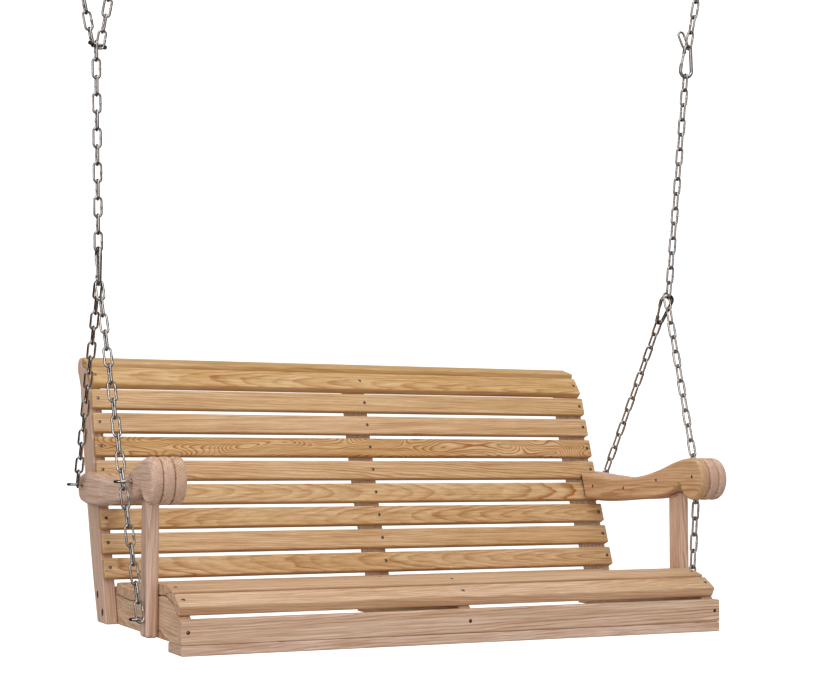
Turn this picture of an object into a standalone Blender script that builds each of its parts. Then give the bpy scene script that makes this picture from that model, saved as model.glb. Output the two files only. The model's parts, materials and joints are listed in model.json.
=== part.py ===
"""Porch swing seat: a slatted timber bench with a rolled back and scroll arms, hung on chain.

The bench is drawn in its own frame, then hung from the junction of its chains:
  X to the sitter's left, y = 0 at the lowest back slat, -y to the front, z = 0 under the rails.
The finished part has its origin on the ceiling above the middle of the bench, in the plane of
the swing axis, +Z up, with the bench facing -Y.
"""

import math

import bmesh
import bpy
from mathutils import Matrix, Vector

# ---------------------------------------------------------------- driving dimensions (metres)
CLEAR = 0.0003              # gap left between pieces that touch
LENGTH = 1.2192             # over the back slats and the uprights
STOCK = 0.0254              # thickness of the sawn frame timber

BACK_SLAT = (0.0430, 0.0190)    # width, thickness
ROLL_SLAT = (0.0505, 0.0190)
SEAT_SLAT = (0.0495, 0.0225)
NOSE_SLAT_WIDTH = 0.0425
BACK_PITCH = 0.0541
BACK_SLATS = 8
SEAT_SLATS = 9
SEAT_GAP = 0.0022           # between neighbouring seat slats, where they come closest

APRON_FRONT = -0.4836
APRON = (0.0460, 0.0240)        # height, thickness
LOWER_BOARD = (0.0880, 0.0200)  # depth, thickness

POST_FRONT, POST_BACK = -0.3350, -0.2880
RAIL_REAR = 0.0680

ARM_PLY = 0.0223
ARM_OUTER_START = 0.6100    # the outer ply passes just outside the uprights
SCROLL_RADIUS = 0.0450
SCROLL_CENTRE = (-0.4080, 0.2980)

LINK_PITCH = 0.0340         # length of chain taken up by each link
CHAIN_ROD = 0.0042          # radius of a rod with the same steel per metre as the chain
EYE_WIRE = 0.0030
HOOK_WIRE = 0.0040          # carabiner wire radius
HOOK_LENGTH = 0.0720        # between the wire centres at the two ends
HOOK_WIDE, HOOK_NARROW = 0.0150, 0.0080
GATE_WIRE = 0.0028
GATE_ENDS = (0.0285, 0.0575)    # along the carabiner, nose end and hinge end

PLATE = (0.1800, 0.0400, 0.0060)
PLATE_X = {"left": 0.7020, "right": 0.6570}     # middle of each plate; the right one has one leg
PLATE_HOLES = (0.0032, (-0.0800, 0.0, 0.0800))  # radius, places along the plate
RING_WIRE, RING_RADIUS = 0.0040, 0.0150
RING_SPACING = 0.1250       # between the two rings of a plate

TILT = math.radians(-5.1)   # the bench hangs tipped back, its weight under the junction
JUNCTION = (0.6693, -0.1684, 0.7210)    # where the chain forks, in the bench's frame
CHAIN_SPREAD = 0.0460       # outward lean of the chains, sideways over height
MAIN_LINKS = {"left": 13, "right": 15}          # up from the junction to the upper hook
FORK_DROP = LINK_PITCH      # the left chains fork one link below the right ones
HANG_LENGTH = 0.7200        # from the swing axis down to the junction

# The bench's left side is at -X, as someone facing the swing sees it.
SIDES = {"left": -1, "right": 1}

# ---------------------------------------------------------------- derived sizes
HALF = LENGTH / 2
FRAME_INNER = HALF - STOCK              # inner face of the uprights and posts
RAIL_OUTER = FRAME_INNER - CLEAR        # the seat slats and apron end flush with the rails
RING_CENTRE = -PLATE[2] - RING_RADIUS + 0.0005
SWING_AXIS = RING_CENTRE - RING_RADIUS  # the rings' lowest wire
JUNCTION_Z = SWING_AXIS - HANG_LENGTH


# ---------------------------------------------------------------- scene, materials, meshes
def clear_scene():
    for obj in list(bpy.data.objects):
        bpy.data.objects.remove(obj, do_unlink=True)


def material(name, colour, roughness, metallic=0.0):
    made = bpy.data.materials.new(name)
    made.use_nodes = True
    shader = made.node_tree.nodes["Principled BSDF"]
    shader.inputs["Base Color"].default_value = (*colour, 1.0)
    shader.inputs["Roughness"].default_value = roughness
    shader.inputs["Metallic"].default_value = metallic
    return made


def empty(name, location, rotation=(0.0, 0.0, 0.0)):
    made = bpy.data.objects.new(name, None)
    made.location = location
    made.rotation_euler = rotation
    bpy.context.collection.objects.link(made)
    return made


def place(name, data, parent, location, finish):
    """An object under its parent empty, with its one material."""
    made = bpy.data.objects.new(name, data)
    made.parent = parent
    made.location = location
    data.materials.append(finish)
    bpy.context.collection.objects.link(made)
    return made


def prism(name, outline, x_low, x_high, parent, location, finish):
    """A board sawn to an outline of (y, z) points, lying between two X planes."""
    mesh = bpy.data.meshes.new(name)
    shape = bmesh.new()
    face = shape.faces.new([shape.verts.new((x_low, y, z)) for y, z in outline])
    side = bmesh.ops.extrude_face_region(shape, geom=[face])
    moved = [item for item in side["geom"] if isinstance(item, bmesh.types.BMVert)]
    bmesh.ops.translate(shape, verts=moved, vec=(x_high - x_low, 0, 0))
    bmesh.ops.recalc_face_normals(shape, faces=shape.faces)
    shape.to_mesh(mesh)
    shape.free()
    return place(name, mesh, parent, location, finish)


def tube(name, points, radius, parent, location, finish, resolution=1):
    """A bent round wire or a straight rod through the points, as a curve with a round bevel."""
    curve = bpy.data.curves.new(name, "CURVE")
    curve.dimensions = "3D"
    curve.bevel_depth = radius
    curve.bevel_resolution = resolution
    curve.use_fill_caps = True
    spline = curve.splines.new("POLY")
    spline.points.add(len(points) - 1)
    for knot, point in zip(spline.points, points):
        knot.co = (*point, 1.0)
        knot.radius = 1.0
    spline.use_smooth = True
    return place(name, curve, parent, location, finish)


def cylinder_cutter(name, start, direction, length, radius, parent, location, finish):
    """A hidden round cutter that drills from start along direction."""
    mesh = bpy.data.meshes.new(name)
    shape = bmesh.new()
    bmesh.ops.create_cone(
        shape, cap_ends=True, segments=24, radius1=radius, radius2=radius, depth=length
    )
    turn = Vector(direction).to_track_quat("Z", "Y").to_matrix().to_4x4()
    middle = Vector(start) + Vector(direction).normalized() * length / 2
    bmesh.ops.transform(shape, matrix=Matrix.Translation(middle) @ turn, verts=shape.verts)
    shape.to_mesh(mesh)
    shape.free()
    made = place(name, mesh, parent, location, finish)
    made.hide_render = True
    made.display_type = "WIRE"
    return made


def combine(target, other, operation):
    step = target.modifiers.new(other.name, "BOOLEAN")
    step.operation = operation
    step.solver = "EXACT"
    step.object = other


# ---------------------------------------------------------------- the bench's curves
def back_face(z):
    """y of the back slats' front faces: reclined about 20 degrees, easing upright."""
    return -0.0499 + 0.4084 * z - 0.0900 * z * z


def back_lean(z):
    """Angle of the back slats from upright, at height z."""
    return math.atan(0.4084 - 0.1800 * z)


def upright_rear(z):
    """y of the uprights' rear edges."""
    return 0.0495 + 0.5139 * z - 0.2834 * z * z


CREST = (-0.3650, 0.1042)       # highest line of the seat, behind its rounded nose
DIP = (-0.1200, 0.0785)         # lowest line of the seat
NOSE_DROP = 3.30                # curvature of the nose
REAR_RISE = 0.0075
SEAT_NOSE = -0.4700


def seat_top(y):
    """Height of the seat slats' top faces."""
    if y < CREST[0]:
        return CREST[1] - NOSE_DROP * (CREST[0] - y) ** 2
    if y < DIP[0]:
        turn = math.pi * (y - CREST[0]) / (DIP[0] - CREST[0])
        return DIP[1] + (CREST[1] - DIP[1]) * (1 + math.cos(turn)) / 2
    return DIP[1] + REAR_RISE * ((y - DIP[0]) / DIP[0]) ** 2


def seat_slope(y, step=0.0005):
    return (seat_top(y + step) - seat_top(y - step)) / (2 * step)


def box_section(centre, along, width, thickness):
    """Corners of a slat: its outer face's centre, the unit vector across that face, sizes.

    The slat's thickness runs to the right of the vector.
    """
    across, depth = Vector(along) * width / 2, Vector((along[1], -along[0])) * thickness
    middle = Vector(centre)
    return [tuple(p) for p in (middle - across, middle + across,
                               middle + across + depth, middle - across + depth)]


def arc(centre, radius, start, end, steps):
    """Points on a circle from one angle to another, in degrees."""
    turns = (math.radians(start + (end - start) * i / steps) for i in range(steps + 1))
    return [(centre[0] + radius * math.cos(t), centre[1] + radius * math.sin(t)) for t in turns]


def crossing(p, p_along, q, q_along):
    """Where two lines in a plane meet."""
    span = Vector(q) - Vector(p)
    scale = p_along[0] * q_along[1] - p_along[1] * q_along[0]
    reach = (span[0] * q_along[1] - span[1] * q_along[0]) / scale
    return tuple(Vector(p) + Vector(p_along) * reach)


# Roll slats: outer face centre and angle from upright
ROLL_FRONT = ((0.1521, 0.5243), math.radians(39.9))
ROLL_TOP = ((0.2011, 0.5608), math.radians(75.9))
KNOB = ((0.2445, 0.5452), 0.0215)


def lean_vector(angle):
    return (math.sin(angle), math.cos(angle))


# ---------------------------------------------------------------- timber
def upright_outline():
    """Side view of an upright: straight foot, curved front under the slats, rounded head."""
    behind = BACK_SLAT[1] + 4 * CLEAR
    front = []
    for i in range(8):
        z = 0.480 * i / 7
        front.append((back_face(z) + behind / math.cos(back_lean(z)), z))

    def under(slat):
        (y, z), angle = slat
        along = lean_vector(angle)
        deep = ROLL_SLAT[1] + 2 * CLEAR
        return Vector((y + along[1] * deep, z - along[0] * deep)), along

    low, low_along = under(ROLL_FRONT)
    high, high_along = under(ROLL_TOP)
    half = ROLL_SLAT[0] / 2 + 0.0015
    top = [
        tuple(low - Vector(low_along) * half),
        crossing(low, low_along, high, high_along),
        tuple(high + Vector(high_along) * half),
    ]
    centre, radius = KNOB
    head = arc(centre, radius, 128, -62, 10)
    rear = [(upright_rear(z), z) for z in (0.500, 0.430, 0.350, 0.260, 0.160, 0.080, 0.0)]
    return front + top + head + rear


def rail_outline():
    """Side view of a seat rail: flat below, curved to the slats above."""
    drop = SEAT_SLAT[1] + 0.0010
    front = APRON_FRONT + APRON[1] + CLEAR
    points = []
    y = SEAT_NOSE
    while y < RAIL_REAR:
        slope = math.atan(seat_slope(y))
        under = (y + drop * math.sin(slope), seat_top(y) - drop * math.cos(slope))
        if front + 0.002 < under[0] < RAIL_REAR - 0.004:
            points.append(under)
        y += 0.0180
    lead = (front, points[0][1] - 0.004)
    tail = (RAIL_REAR, points[-1][1] + 0.001)
    return [(front, 0.0), (RAIL_REAR, 0.0), tail] + points[::-1] + [lead]


ARM_TOP = [(0.0450, 0.3085), (-0.0350, 0.3045), (-0.1150, 0.2995), (-0.1750, 0.3010),
           (-0.2300, 0.3080), (-0.2850, 0.3195), (-0.3350, 0.3330), (-0.3720, 0.3405)]
ARM_UNDER = [(-0.3660, 0.2890), (-0.3450, 0.2760), (-0.3200, 0.2675), (-0.2850, 0.2600),
             (-0.2350, 0.2540), (-0.1500, 0.2500)]
ARM_REAR_TOP = 0.3110
ARM_REAR_UNDER = 0.2490


def scroll_and_throat():
    """The arm's outline from its rear top edge, round the scroll, to its rear underside."""
    scroll = arc(SCROLL_CENTRE, SCROLL_RADIUS, 90, 348, 24)
    return ARM_TOP[1:] + scroll + ARM_UNDER[1:]


def inner_arm_outline():
    """A ply that stops against the back slats."""
    ends = [(back_face(z) - 0.0010, z) for z in (ARM_REAR_UNDER, ARM_REAR_TOP)]
    return scroll_and_throat() + ends


def outer_arm_outline():
    """The ply that runs on past the upright, with a rounded rear end."""
    centre = (0.1210, (ARM_REAR_TOP + ARM_REAR_UNDER) / 2)
    radius = (ARM_REAR_TOP - ARM_REAR_UNDER) / 2
    return scroll_and_throat() + arc(centre, radius, -90, 90, 10)


def post_outline():
    """A post: square foot, top cut to the arm's underside."""
    top = [(y, z - 2 * CLEAR) for y, z in ARM_UNDER if POST_FRONT < y < POST_BACK]
    front = (POST_FRONT, 0.2716)
    back = (POST_BACK, 0.2604)
    return [(POST_FRONT, 0.0), (POST_BACK, 0.0), back] + top[::-1] + [front]


def on_side(sign, x_inner, x_outer):
    """The X planes of a piece on one side, low then high."""
    return sorted((sign * x_inner, sign * x_outer))


def make_frame(add):
    for side, sign in SIDES.items():
        rail = on_side(sign, RAIL_OUTER - STOCK, RAIL_OUTER)
        outside = on_side(sign, FRAME_INNER, HALF)
        add(f"seat_rail_{side}", rail_outline(), rail)
        add(f"back_upright_{side}", upright_outline(), outside)
        add(f"arm_post_{side}", post_outline(), outside)
        plies = (("outer", 0, outer_arm_outline()), ("middle", 1, inner_arm_outline()),
                 ("inner", 2, inner_arm_outline()))
        for name, layer, outline in plies:
            start = ARM_OUTER_START - layer * (ARM_PLY + CLEAR)
            add(f"arm_ply_{name}_{side}", outline, on_side(sign, start, start + ARM_PLY))
    add("seat_rail_centre", rail_outline(), (-STOCK / 2, STOCK / 2))
    beside = STOCK / 2 + CLEAR
    add("back_upright_centre", upright_outline(), (beside, beside + STOCK))


def make_back(add):
    first = 0.1157
    z = first
    for number in range(1, BACK_SLATS + 1):
        centre = (back_face(z), z)
        section = box_section(centre, lean_vector(back_lean(z)), *BACK_SLAT)
        add(f"back_slat_{number}", section, (-HALF, HALF))
        z += BACK_PITCH * math.cos(back_lean(z + BACK_PITCH / 2))
    for name, (centre, angle) in (("front", ROLL_FRONT), ("top", ROLL_TOP)):
        section = box_section(centre, lean_vector(angle), *ROLL_SLAT)
        add(f"roll_slat_{name}", section, (-HALF, HALF))


def seat_slat_stations():
    """y of each seat slat's middle, spaced along whichever of its faces is the tighter."""
    widths = [NOSE_SLAT_WIDTH] + [SEAT_SLAT[0]] * (SEAT_SLATS - 1)
    stations, y, travelled, due = [], SEAT_NOSE, 0.0, NOSE_SLAT_WIDTH / 2
    step = 0.0002
    while len(stations) < SEAT_SLATS:
        if travelled >= due:
            width = widths[len(stations)]
            stations.append((y, width))
            following = widths[min(len(stations), SEAT_SLATS - 1)]
            due += (width + following) / 2 + SEAT_GAP
        turn = math.atan(seat_slope(y)) - math.atan(seat_slope(y + step))
        travelled += step * math.hypot(1.0, seat_slope(y)) - SEAT_SLAT[1] * max(turn, 0.0)
        y += step
    return stations


def make_seat(add):
    across = (-RAIL_OUTER, RAIL_OUTER)
    for number, (y, width) in enumerate(seat_slat_stations(), 1):
        slope = math.atan(seat_slope(y))
        along = (math.cos(slope), math.sin(slope))
        section = box_section((y, seat_top(y)), along, width, SEAT_SLAT[1])
        add(f"seat_slat_{number}", section, across)
    apron = box_section((APRON_FRONT, APRON[0] / 2), (0.0, 1.0), *APRON)
    add("front_apron", apron, across)
    depth, thick = LOWER_BOARD
    middle = (APRON_FRONT + depth / 2, -CLEAR)
    add("lower_front_board", box_section(middle, (1.0, 0.0), depth, thick), across)


# ---------------------------------------------------------------- chain, eyes and carabiners
EYES = {
    # name: ring centre from the side (y, z), X of the timber face, ring radius, pieces drilled
    "front": ((-0.3060, 0.2960), ARM_OUTER_START + ARM_PLY, 0.0140,
              ("arm_ply_outer", "arm_ply_middle")),
    "rear": ((0.1080, 0.2870), ARM_OUTER_START + ARM_PLY, 0.0125,
             ("arm_ply_outer", "back_upright")),
    "lower": ((-0.3180, 0.0360), HALF, 0.0105, ("arm_post", "seat_rail")),
}
EYE_STANDOFF = 0.0015           # between the timber and the ring's wire
EYE_SHANK = 0.0420              # length buried in the timber


def eye_centre(which, sign):
    (y, z), face, radius, _ = EYES[which]
    return Vector((sign * (face + EYE_STANDOFF + EYE_WIRE + radius), y, z))


def make_eye(which, side, sign, parent, location, finish):
    """A screw eye bent from one rod: the shank into the timber, the ring lying flat."""
    centre = eye_centre(which, sign)
    radius = EYES[which][2]
    turn_in = radius + 0.0020
    ring = arc((0.0, 0.0), radius, 0, 318, 16)
    # The ring starts where it meets the shank and ends a wire short of it.
    ring = [(-u, v) for u, v in ring]
    path = [centre + Vector((-sign * (turn_in + EYE_SHANK - 0.002), 0, 0))]
    path += [centre + Vector((sign * u, v, 0)) for u, v in ring]
    return tube(f"eye_{which}_{side}", path, EYE_WIRE, parent, location, finish)


def drill_eyes(which, side, sign, pieces, parent, location, finish):
    """Clears the pieces that an eye's shank passes through."""
    (y, z), face, _, targets = EYES[which]
    start = Vector((sign * (face + 0.002), y, z))
    name = f"hole_{which}_{side}"
    length = EYE_SHANK + 0.0025
    cutter = cylinder_cutter(
        name, start, (-sign, 0, 0), length, EYE_WIRE + 0.0005, parent, location, finish
    )
    for target in targets:
        combine(pieces[f"{target}_{side}"], cutter, "DIFFERENCE")


def hook_path():
    """The carabiner's wire in its own plane, from the gate's hinge to the nose."""
    narrow_at = HOOK_LENGTH - HOOK_NARROW
    small = arc((narrow_at, 0), HOOK_NARROW, 90, -90, 10)
    large = arc((HOOK_WIDE, 0), HOOK_WIDE, 270, 90, 14)
    hinge_end = (GATE_ENDS[1] + 0.003, HOOK_NARROW + 0.0002)
    nose_end = (GATE_ENDS[0] - 0.0010, HOOK_WIDE - 0.0012)
    return [hinge_end] + small + large + [nose_end]


def make_carabiner(name, origin, along, across, parent, finish):
    """A spring hook and its gate. The wide end's wire crosses the origin; along runs
    to the narrow end and across to the gate's side. The gate's origin is its pin."""
    along, across = Vector(along).normalized(), Vector(across).normalized()

    def spot(u, v):
        return Vector(origin) + along * u + across * v

    tube(f"{name}_body", [spot(u, v) for u, v in hook_path()], HOOK_WIRE, parent,
         (0, 0, 0), finish, resolution=2)
    nose, hinge = GATE_ENDS
    pin = spot(hinge, HOOK_NARROW + 0.0006)
    tip = spot(nose, HOOK_WIDE - 0.0016)
    tube(f"{name}_gate", [Vector(), tip - pin], GATE_WIRE, parent, pin, finish)


def rod(name, start, end, parent, finish, trim=(0.0, 0.0)):
    """A straight run of chain between two points, cut short by trim at each end."""
    start, end = Vector(start), Vector(end)
    along = (end - start).normalized()
    ends = [start + along * trim[0], end - along * trim[1]]
    tube(name, ends, CHAIN_ROD, parent, (0, 0, 0), finish)


def make_ceiling_hanger(side, sign, steel):
    """A ceiling plate with screw holes and two rings welded under it."""
    long, wide, thick = PLATE
    root = empty(f"ceiling_{side}", (sign * PLATE_X[side], 0, 0))
    outline = [(-wide / 2, -thick), (wide / 2, -thick), (wide / 2, 0), (-wide / 2, 0)]
    plate = prism(f"ceiling_hanger_{side}", outline, -long / 2, long / 2, root, (0, 0, 0), steel)
    radius, places = PLATE_HOLES
    for number, x in enumerate(places, 1):
        hole = cylinder_cutter(
            f"plate_hole_{side}_{number}", (x, 0, 0.002), (0, 0, -1), thick + 0.004, radius,
            root, (0, 0, 0), steel,
        )
        combine(plate, hole, "DIFFERENCE")
    for number, x in enumerate((-RING_SPACING / 2, RING_SPACING / 2), 1):
        combine(plate, make_ring(f"ring_{side}_{number}", x, root, steel), "UNION")


def make_ring(name, x, parent, finish):
    """A round ring standing across the swing, as a mesh to weld to its plate."""
    mesh = bpy.data.meshes.new(name)
    shape = bmesh.new()
    rows, sides = 20, 8
    loops = []
    for row in range(rows):
        turn = 2 * math.pi * row / rows
        spots = arc((RING_RADIUS, 0.0), RING_WIRE, 0, 360 - 360 / sides, sides - 1)
        loops.append([
            shape.verts.new((x + u * math.cos(turn), v, RING_CENTRE + u * math.sin(turn)))
            for u, v in spots
        ])
    for row, loop in enumerate(loops):
        following = loops[(row + 1) % rows]
        for i in range(sides):
            k = (i + 1) % sides
            shape.faces.new([loop[i], loop[k], following[k], following[i]])
    bmesh.ops.recalc_face_normals(shape, faces=shape.faces)
    shape.to_mesh(mesh)
    shape.free()
    ring = place(name, mesh, parent, (0, 0, 0), finish)
    ring.hide_render = True
    ring.display_type = "WIRE"
    return ring


def make_hanger(side, sign, steel):
    """Everything that swings from one ceiling plate: leg chains, carabiners, main chain."""
    pivot = empty(f"hanger_{side}", (0, 0, SWING_AXIS))
    fork = Vector((sign * JUNCTION[0], 0, -HANG_LENGTH))
    up = Vector((sign * CHAIN_SPREAD, 0, 1))
    top = fork + up * MAIN_LINKS[side] * LINK_PITCH
    outer = Vector((sign * (PLATE_X[side] + RING_SPACING / 2), 0, 0))
    inner = Vector((sign * (PLATE_X[side] - RING_SPACING / 2), 0, 0))
    name = f"top_carabiner_{side}"
    trim = (RING_WIRE + 0.0015, HOOK_WIRE + 0.0030)
    if side == "left":      # lying level, both leg chains hooked over its wide end
        hooked = fork - up * FORK_DROP + up.normalized() * HOOK_LENGTH
        rod("main_chain_left", top, hooked, pivot, steel, (0.0090, 0.0110))
        make_carabiner("fork_carabiner_left", hooked, -up, (0, 1, 0), pivot, steel)
        make_carabiner(name, top, (0.38, 0.92, 0.10), (0.90, -0.36, -0.24), pivot, steel)
        spots = (top + Vector((-0.0075, 0.0020, 0)), top + Vector((0.0075, 0.0020, 0)))
        rod("upper_chain_left_outer", outer, spots[0], pivot, steel, trim)
        rod("upper_chain_left_inner", inner, spots[1], pivot, steel, trim)
    else:                   # upright, narrow end to the one leg chain
        rod("main_chain_right", top, fork, pivot, steel, (0.0090, 0.0110))
        make_carabiner(name, top, up, (-1.0, 0, CHAIN_SPREAD), pivot, steel)
        tip = top + up.normalized() * HOOK_LENGTH
        rod("upper_chain_right", outer, tip, pivot, steel, trim)


def make_leg_chains(side, sign, seat, location, steel):
    """The chain forks here: forward through the front eye to the lower one, and back to the
    rear eye. On the left both runs hang from the hook's narrow end; on the right the hook
    begins the rear run."""
    fork = Vector((sign * JUNCTION[0], JUNCTION[1], JUNCTION[2])) + Vector(location)
    if side == "left":
        down = Vector((-sign * CHAIN_SPREAD, 0, -1)) * FORK_DROP
        fork += Matrix.Rotation(-TILT, 3, "X") @ down
    front, rear, lower = (
        eye_centre(which, sign) + Vector(location) for which in ("front", "rear", "lower")
    )
    forward = (front - fork).normalized()
    back = (rear - fork).normalized()
    low_end = lower + (front - lower).normalized() * -0.0020
    clear_of_hook, hook_end = (0.0160, 0.0085) if side == "left" else (0.0320, HOOK_LENGTH)
    start = fork + forward * clear_of_hook
    tube(f"front_chain_{side}", [start, front, low_end], CHAIN_ROD, seat, (0, 0, 0), steel)
    rod(f"rear_chain_{side}", fork + back * hook_end, rear, seat, steel, (0.0075, 0.0))
    if side == "right":
        across = Vector((-1, 0, 0)) - back * Vector((-1, 0, 0)).dot(back)
        make_carabiner("fork_carabiner_right", fork, back, across, seat, steel)


def main():
    clear_scene()
    pine = material("cypress", (0.62, 0.40, 0.21), 0.62)
    steel = material("zinc_plated_steel", (0.62, 0.63, 0.65), 0.28, 1.0)

    seat = empty("seat", (0, 0, JUNCTION_Z), (TILT, 0, 0))
    home = (0.0, -JUNCTION[1], -JUNCTION[2])
    pieces = {}

    def add(name, outline, x_range):
        pieces[name] = prism(name, outline, *x_range, seat, home, pine)

    make_frame(add)
    make_back(add)
    make_seat(add)
    for side, sign in SIDES.items():
        for which in EYES:
            make_eye(which, side, sign, seat, home, steel)
            drill_eyes(which, side, sign, pieces, seat, home, pine)
        make_leg_chains(side, sign, seat, home, steel)
        make_hanger(side, sign, steel)
        make_ceiling_hanger(side, sign, steel)


main()
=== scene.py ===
"""Porch swing seat: the timber, chain and fittings that show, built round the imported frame.

Every timber piece keeps its CAD outline, with the curves refined, the edges rounded over and the
screw pockets cut, and carries its own place in the log it was sawn from, so that the grain on
its faces, edges and ends agrees. The rods that stand for chain become real links.
"""

import json
import math
import random

import bmesh
import bpy
from mathutils import Matrix, Vector


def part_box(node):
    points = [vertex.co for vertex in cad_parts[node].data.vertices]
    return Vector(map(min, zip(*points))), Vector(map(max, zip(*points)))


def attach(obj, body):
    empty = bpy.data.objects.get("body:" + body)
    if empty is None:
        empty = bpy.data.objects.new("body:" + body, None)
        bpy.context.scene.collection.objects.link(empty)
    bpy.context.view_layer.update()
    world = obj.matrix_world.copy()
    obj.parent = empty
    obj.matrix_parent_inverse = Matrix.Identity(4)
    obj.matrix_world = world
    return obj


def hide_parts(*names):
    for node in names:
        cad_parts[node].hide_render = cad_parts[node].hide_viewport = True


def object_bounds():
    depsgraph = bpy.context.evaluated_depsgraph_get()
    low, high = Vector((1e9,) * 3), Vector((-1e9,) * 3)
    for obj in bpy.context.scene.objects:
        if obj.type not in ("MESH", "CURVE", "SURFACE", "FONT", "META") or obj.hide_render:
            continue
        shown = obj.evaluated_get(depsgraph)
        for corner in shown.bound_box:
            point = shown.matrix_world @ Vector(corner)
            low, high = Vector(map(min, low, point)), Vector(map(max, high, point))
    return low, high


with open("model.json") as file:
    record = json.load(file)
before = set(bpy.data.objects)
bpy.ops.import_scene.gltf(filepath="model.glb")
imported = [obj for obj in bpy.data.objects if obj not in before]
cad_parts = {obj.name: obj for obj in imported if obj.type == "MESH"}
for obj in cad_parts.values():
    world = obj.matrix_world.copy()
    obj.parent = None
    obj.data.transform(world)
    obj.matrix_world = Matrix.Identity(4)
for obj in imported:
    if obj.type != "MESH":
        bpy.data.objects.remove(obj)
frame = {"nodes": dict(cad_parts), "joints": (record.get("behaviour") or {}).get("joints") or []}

CAD_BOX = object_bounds()
JOINTS = {joint["name"]: joint for joint in frame["joints"]}

# ------------------------ driving dimensions (metres)
TILT = math.radians(-5.1)                   # the bench hangs tipped back
FORK = Vector((0.6693, -0.1684, 0.7210))    # where the right chains part, in the bench's frame
CHAIN_SPREAD = 0.0460                       # outward lean of the chains
LINK_INNER = 0.0340                         # a link's inside length, and so the chain's pitch
MAIN_LINKS = {"left": 13, "right": 15}      # up from the fork to the upper hook
FRONT_LINKS = {"left": 19, "right": 20}     # from the fork down to the lower eye
FORK_DROP = {"left": LINK_INNER, "right": 0.0}  # how far below FORK each side's chains part
LEVEL_HOOK = ((0.38, 0.92, 0.10), (0.90, -0.36, -0.24))     # the left top hook: along, across

LINK_WIRE = 0.00245                         # radius
LINK_WIDTH = 0.0196                         # outside
HOOK_WIRE = 0.0040
HOOK_LENGTH, HOOK_WIDE, HOOK_NARROW = 0.0720, 0.0150, 0.0080
GATE_ENDS = (0.0285, 0.0575)
RING_WIRE, RING_RADIUS, RING_SPACING = 0.0040, 0.0150, 0.1250
PLATE_THICK, LAG_SPACING = 0.0060, 0.0800
EYE_WIRE = 0.0030
EYE_RADII = {"front": 0.0140, "rear": 0.0125, "lower": 0.0105}
EYE_PLACES = {                              # ring centres in the bench's frame, right side
    "front": Vector((0.6508, -0.3060, 0.2960)),
    "rear": Vector((0.6493, 0.1080, 0.2870)),
    "lower": Vector((0.6246, -0.3180, 0.0360)),
}
LOWER_HOOKED = Vector((0.6175, -0.3257, 0.0360))    # where the last link sits on the lower ring
SIDES = {"left": -1, "right": 1}

SCREW_POCKET = (0.0041, 0.0018)             # radius, depth
SCREW_SINK = 0.55                           # how deep in its pocket a head sits, as a share
SCREW_HEAD = 0.0030                         # radius
BOLT_POCKET = (0.0085, 0.0045)
BOLT_SEAT = 0.0035                          # how deep in its pocket a bolt's head starts
RECLINE = 0.38                              # of the back uprights, in radians

FORK_WORLD = Vector((0.0, 0.0, JOINTS["bench_tilt"]["pos_m"][2] + FORK_DROP["left"]))
BENCH_TURN = Matrix.Rotation(TILT, 3, "X")
SWING_AXIS = Vector((0.0, 0.0, JOINTS["swing_left"]["pos_m"][2]))


def on_bench(point):
    """Where a point given in the bench's own frame lies in the shared frame."""
    return BENCH_TURN @ (Vector(point) - Vector((0.0, FORK.y, FORK.z))) + FORK_WORLD


def sided(point, sign):
    """A right-hand point on the side of that sign."""
    return Vector((point[0] * sign, point[1], point[2]))


def square_to(along, vector):
    """The unit vector square to a unit vector that is nearest to another one."""
    vector = Vector(vector)
    return (vector - along * vector.dot(along)).normalized()


def face_x(node, sign):
    """X of the node's face on the side of that sign."""
    low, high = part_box(node)
    return low.x if sign < 0 else high.x


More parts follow.
